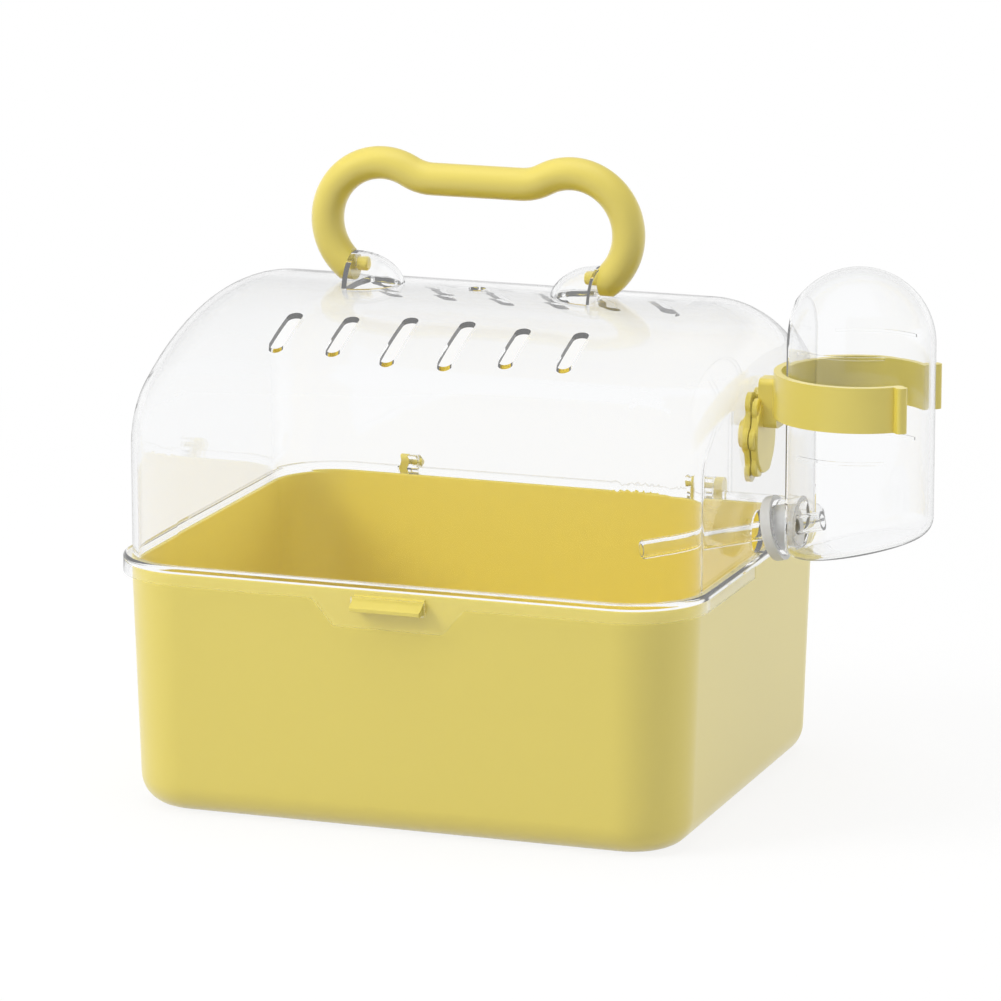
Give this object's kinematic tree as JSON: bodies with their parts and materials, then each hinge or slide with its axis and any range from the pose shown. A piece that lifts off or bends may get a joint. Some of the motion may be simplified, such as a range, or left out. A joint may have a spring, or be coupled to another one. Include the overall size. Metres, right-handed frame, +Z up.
{
  "type": "pet carrier",
  "caption": "Small pet carrier with a drafted tub, a clear vaulted lid hinged at the back, a folding bar handle and a drinking bottle in a split ring on the right wall.",
  "frame": {"origin": "centre of the tub's flat base, on the surface that the carrier stands on", "axes": "+X to the right, towards the bottle; +Y to the back, towards the hinge; +Z up"},
  "size_m": [0.3066, 0.2106, 0.2533],
  "materials": {
    "yellow_plastic": "satin yellow moulded plastic",
    "clear_plastic": "clear polished plastic",
    "clear_bottle": "clear polished plastic",
    "grey_silicone": "matt light grey silicone",
    "clear_tube": "clear polished plastic"
  },
  "bodies": {
    "tub": {"tub": "yellow_plastic", "hinge_pin_left": "yellow_plastic", "hinge_pin_right": "yellow_plastic"},
    "lid": {"lid_shell": "clear_plastic", "bottle_holder": "yellow_plastic", "bottle": "clear_bottle", "bottle_stopper": "grey_silicone", "drinking_tube": "clear_tube"},
    "handle": {"handle": "yellow_plastic", "handle_pin_left": "yellow_plastic", "handle_pin_right": "yellow_plastic"},
    "nut": {"holder_nut": "yellow_plastic"}
  },
  "joints": [
    {"name": "lid_hinge", "type": "hinge", "parent": "tub", "child": "lid", "pos_m": [0, 0.102, 0.1029], "axis": [-1, 0, 0], "range_deg": [0, 105]},
    {"name": "handle_fold", "type": "hinge", "parent": "lid", "child": "handle", "pos_m": [0, 0, 0.2058], "axis": [1, 0, 0], "range_deg": [-90, 90]},
    {"name": "holder_nut_turn", "type": "hinge", "parent": "lid", "child": "nut", "pos_m": [0.112, 0, 0.1483], "axis": [1, 0, 0], "continuous": true}
  ]
}
